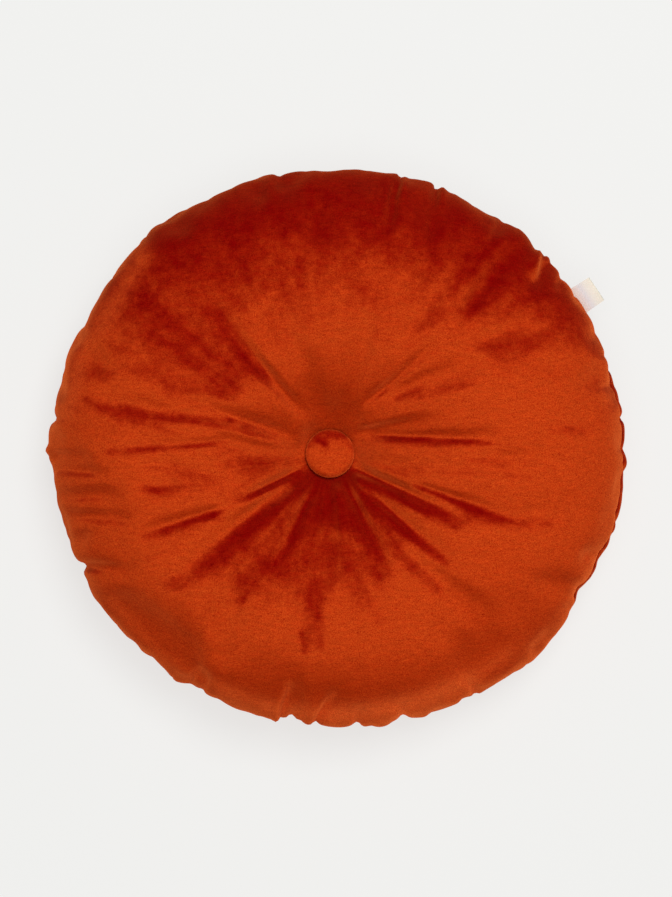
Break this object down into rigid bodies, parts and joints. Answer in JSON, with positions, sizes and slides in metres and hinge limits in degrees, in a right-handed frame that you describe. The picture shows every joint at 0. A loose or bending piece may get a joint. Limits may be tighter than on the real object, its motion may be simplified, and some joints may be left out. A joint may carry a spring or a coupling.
{
  "type": "round velvet scatter cushion with covered buttons",
  "caption": "Round filled velvet cushion, drawn in at the middle by a covered button front and back, gathered into a rim seam with a blank folded label.",
  "frame": {"origin": "middle of the outline on the surface that the back lies on", "axes": "+Z the way the face looks, +Y the top of the face as pictured, +X to the right of the face"},
  "size_m": [0.4102, 0.3937, 0.1181],
  "materials": {
    "velvet": "burnt orange short-pile velvet with brushed darker and lighter nap",
    "button_velvet": "the same velvet pulled tight over a button",
    "label_satin": "blank cream woven satin ribbon"
  },
  "bodies": {
    "root": {"cushion_body": "velvet", "face_button": "button_velvet", "back_button": "button_velvet", "seam_label": "label_satin"}
  },
  "joints": []
}
